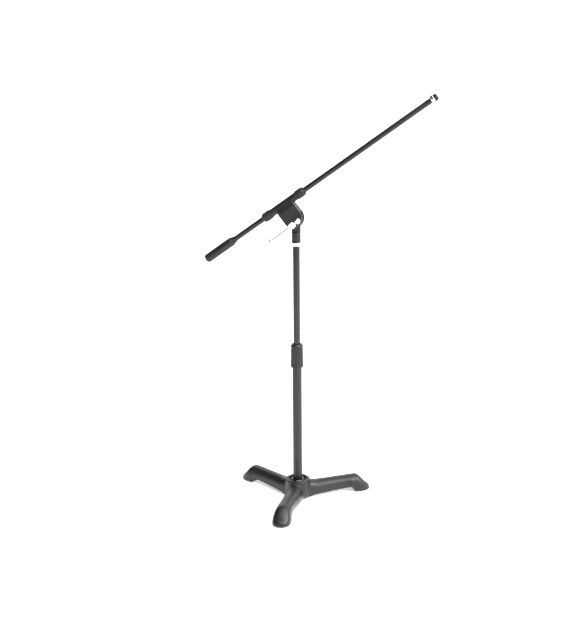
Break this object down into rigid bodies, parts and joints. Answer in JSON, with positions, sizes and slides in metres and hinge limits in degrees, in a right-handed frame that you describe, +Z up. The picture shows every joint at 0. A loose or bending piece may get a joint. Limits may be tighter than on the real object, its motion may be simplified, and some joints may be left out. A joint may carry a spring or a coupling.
{
  "type": "boom microphone stand",
  "caption": "Short boom microphone stand: cast three-legged base, telescoping mast with a twist clutch, and a counterweighted boom on a tilting swivel locked by a T-handle.",
  "frame": {"origin": "on the floor, at the middle of the stand's floor box; the mast axis stands at x -48.2 mm, y +39.6 mm", "axes": "+Z up the mast, +X the way the boom's microphone end points, +Y to the left of the boom, away from the T-handle"},
  "size_m": [0.529, 0.2836, 0.9518],
  "materials": {
    "cast_iron": "satin dark grey paint over cast iron",
    "rubber": "matte black rubber",
    "zinc_plate": "zinc plated steel",
    "black_tube": "satin black on steel tube",
    "black_plastic": "moulded black plastic, fluted",
    "nylon": "natural nylon",
    "black_casting": "fine black powder coat",
    "black_oxide": "blackened turned steel",
    "chrome": "bright chrome plate"
  },
  "bodies": {
    "base": {"base_casting": "cast_iron", "foot_pad_1": "rubber", "foot_pad_2": "rubber", "foot_pad_3": "rubber", "hub_collar": "black_oxide", "base_washer": "zinc_plate", "base_bolt": "zinc_plate", "tube_plug": "zinc_plate", "lower_tube": "black_tube", "clutch_sleeve": "zinc_plate"},
    "clutch_grip": {"clutch_grip": "black_plastic"},
    "mast_collet": {"clutch_collet": "nylon"},
    "mast": {"upper_tube": "black_tube", "tube_glide": "nylon", "top_stud": "zinc_plate", "swivel_post": "black_casting", "friction_disc_near": "nylon", "friction_disc_far": "nylon"},
    "lock_ring": {"lock_ring": "chrome"},
    "bracket": {"boom_bracket": "black_casting", "pivot_nut": "zinc_plate"},
    "pivot_screw": {"pivot_screw": "chrome", "pivot_washer": "black_oxide"},
    "t_bar": {"t_bar": "chrome", "t_bar_ball_short": "chrome", "t_bar_ball_long": "chrome"},
    "clamp_nut_front": {"clamp_nut_front": "black_plastic"},
    "clamp_nut_rear": {"clamp_nut_rear": "black_plastic"},
    "boom_collets": {"boom_collet_front": "nylon", "boom_collet_rear": "nylon"},
    "boom": {"boom_rod": "black_tube", "counterweight": "black_casting", "tip_collar": "chrome", "tip_thread": "black_casting"}
  },
  "joints": [
    {"name": "clutch_turn", "type": "hinge", "parent": "base", "child": "clutch_grip", "pos_m": [-0.0482, 0.0396, 0.353], "axis": [0, 0, 1], "range_deg": [0, 120]},
    {"name": "mast_turn", "type": "hinge", "parent": "base", "child": "mast_collet", "pos_m": [-0.0482, 0.0396, 0.366], "axis": [0, 0, 1], "continuous": true},
    {"name": "mast_height", "type": "slide", "parent": "mast_collet", "child": "mast", "axis": [0, 0, 1], "range_m": [-0.222, 0.04]},
    {"name": "lock_ring_turn", "type": "hinge", "parent": "mast", "child": "lock_ring", "pos_m": [-0.0482, 0.0396, 0.6155], "axis": [0, 0, 1], "range_deg": [0, 360]},
    {"name": "boom_tilt", "type": "hinge", "parent": "mast", "child": "bracket", "pos_m": [-0.0482, 0.0396, 0.665], "axis": [0, -1, 0], "range_deg": [-80.7, 54.3]},
    {"name": "pivot_screw_turn", "type": "hinge", "parent": "bracket", "child": "pivot_screw", "pos_m": [-0.0482, 0.0396, 0.665], "axis": [0, -1, 0], "range_deg": [0, 360]},
    {"name": "t_bar_slide", "type": "slide", "parent": "pivot_screw", "child": "t_bar", "axis": [0.7859, 0, 0.6184], "range_m": [0, 0.047]},
    {"name": "clamp_nut_front_turn", "type": "hinge", "parent": "bracket", "child": "clamp_nut_front", "pos_m": [-0.03804, 0.0396, 0.73141], "axis": [0.8121, 0, 0.5835], "range_deg": [0, 150]},
    {"name": "clamp_nut_rear_turn", "type": "hinge", "parent": "bracket", "child": "clamp_nut_rear", "pos_m": [-0.11438, 0.0396, 0.67655], "axis": [-0.8121, 0, -0.5835], "range_deg": [0, 150]},
    {"name": "boom_turn", "type": "hinge", "parent": "bracket", "child": "boom_collets", "pos_m": [-0.07621, 0.0396, 0.70398], "axis": [0.8121, 0, 0.5835], "continuous": true},
    {"name": "boom_slide", "type": "slide", "parent": "boom_collets", "child": "boom", "axis": [0.8121, 0, 0.5835], "range_m": [-0.34, 0.083]}
  ]
}
